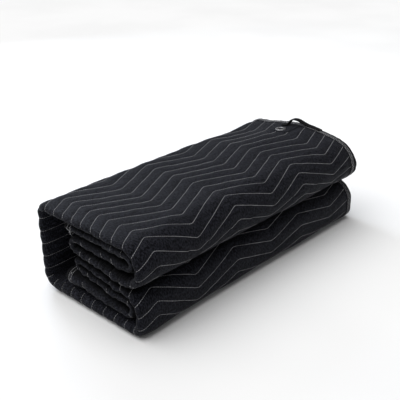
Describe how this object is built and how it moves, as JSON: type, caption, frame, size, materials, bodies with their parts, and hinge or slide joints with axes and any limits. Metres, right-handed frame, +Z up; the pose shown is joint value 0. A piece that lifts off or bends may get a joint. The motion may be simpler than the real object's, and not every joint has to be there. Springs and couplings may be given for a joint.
{
  "type": "folded quilted sound dampening blanket",
  "caption": "Quilted blanket folded into a layered bundle, with bound edges, an eyelet in a webbing patch and a hanging loop.",
  "frame": {"origin": "middle of the underside of the folded bundle, on the surface that it lies on", "axes": "+X along the bundle towards the bound cut edge, +Y towards the spine, +Z up"},
  "size_m": [0.6852, 0.2986, 0.2199],
  "materials": {
    "quilted_cloth": "matt black woven cotton blend, quilted in light grey thread",
    "binding_tape": "matt black woven tape, two rows of light stitches",
    "webbing": "black webbing, slight sheen",
    "eyelet_metal": "plain bright metal"
  },
  "bodies": {
    "root": {"blanket": "quilted_cloth", "binding_edge": "binding_tape", "binding_end_a": "binding_tape", "binding_end_b": "binding_tape", "patch": "webbing", "hang_loop": "webbing", "eyelet": "eyelet_metal"}
  },
  "joints": []
}
